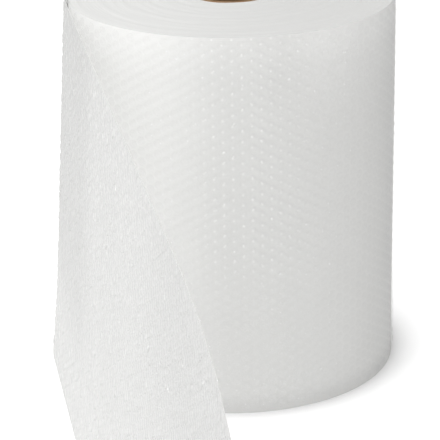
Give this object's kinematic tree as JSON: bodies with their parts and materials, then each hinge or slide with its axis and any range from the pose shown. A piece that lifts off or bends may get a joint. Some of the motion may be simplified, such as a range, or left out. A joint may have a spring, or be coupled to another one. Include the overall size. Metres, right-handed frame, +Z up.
{
  "type": "bubble wrap roll",
  "caption": "Roll of bubble wrap on a cardboard core, standing on end, with the free end of the web drawn out and standing on its edge.",
  "frame": {"origin": "on the axis of the core, at the floor the roll stands on", "axes": "+Z up along the core's axis, -Y towards the front, where the free end of the web is drawn out, +X to the right seen from the front"},
  "size_m": [0.3729, 1.2173, 0.4],
  "materials": {
    "cardboard": "matte",
    "bubble_film": "soft gloss"
  },
  "bodies": {
    "root": {"core_tube": "cardboard", "bubble_web": "bubble_film"}
  },
  "joints": []
}
